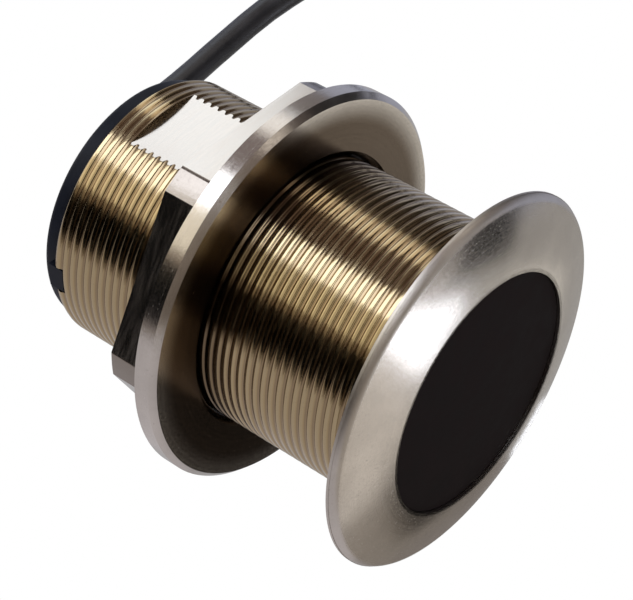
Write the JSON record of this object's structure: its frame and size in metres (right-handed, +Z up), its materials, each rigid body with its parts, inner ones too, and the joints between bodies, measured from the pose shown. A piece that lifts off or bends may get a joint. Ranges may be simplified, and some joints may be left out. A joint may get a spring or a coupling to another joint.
{
  "type": "through-hull sonar transducer",
  "caption": "Low-profile bronze through-hull depth transducer: bevelled flange with black urethane face, threaded stem, flanged hex hull nut, coiled cable with round screw-collar plug.",
  "frame": {"origin": "centre of the flange's front plane, on which it stands", "axes": "+Z up the stem towards the cable; +X towards the coiled cable"},
  "size_m": [0.2152, 0.1054, 0.0984],
  "materials": {
    "bronze": "satin, turned",
    "urethane": "matte",
    "cap_plastic": "satin",
    "rubber": "matte",
    "foam": "matte",
    "ceramic": "satin",
    "wire": "satin",
    "epoxy": "gloss",
    "board": "satin",
    "ferrite": "matte",
    "copper": "satin",
    "chip": "matte",
    "bead": "satin",
    "jacket": "satin",
    "tie": "woven",
    "plug_plastic": "satin",
    "pin_brass": "plated"
  },
  "bodies": {
    "root": {"housing": "bronze", "acoustic_window": "urethane", "rear_cap": "cap_plastic", "strain_relief": "rubber", "cap_seal": "rubber", "element_cup": "cap_plastic", "isolation_sleeve": "foam", "ceramic_element": "ceramic", "backing_pad": "foam", "front_lead": "wire", "rear_lead": "wire", "element_potting": "epoxy", "circuit_board": "board", "transformer_core": "ferrite", "transformer_winding": "copper", "id_chip": "chip", "thermistor": "bead", "thermistor_lead": "wire", "rear_potting": "epoxy", "board_lead": "wire", "cable": "jacket", "cable_coil": "jacket", "cable_tail": "jacket", "cable_tie_a": "tie", "cable_tie_b": "tie", "plug_boot": "rubber", "plug_body": "plug_plastic", "plug_insert": "plug_plastic", "plug_seal": "rubber", "plug_pin_1": "pin_brass", "plug_pin_2": "pin_brass", "plug_pin_3": "pin_brass", "plug_pin_4": "pin_brass", "plug_pin_5": "pin_brass", "plug_pin_6": "pin_brass", "plug_pin_7": "pin_brass"},
    "nut": {"hull_nut": "bronze"},
    "collar": {"plug_collar": "plug_plastic"}
  },
  "joints": [
    {"name": "hull_nut_travel", "type": "slide", "parent": "root", "child": "nut", "axis": [0, 0, 1], "range_m": [-0.0338, 0.0338]},
    {"name": "plug_collar_turn", "type": "hinge", "parent": "root", "child": "collar", "pos_m": [0.101, -0.02, 0.0441], "axis": [1, 0, 0], "continuous": true}
  ]
}
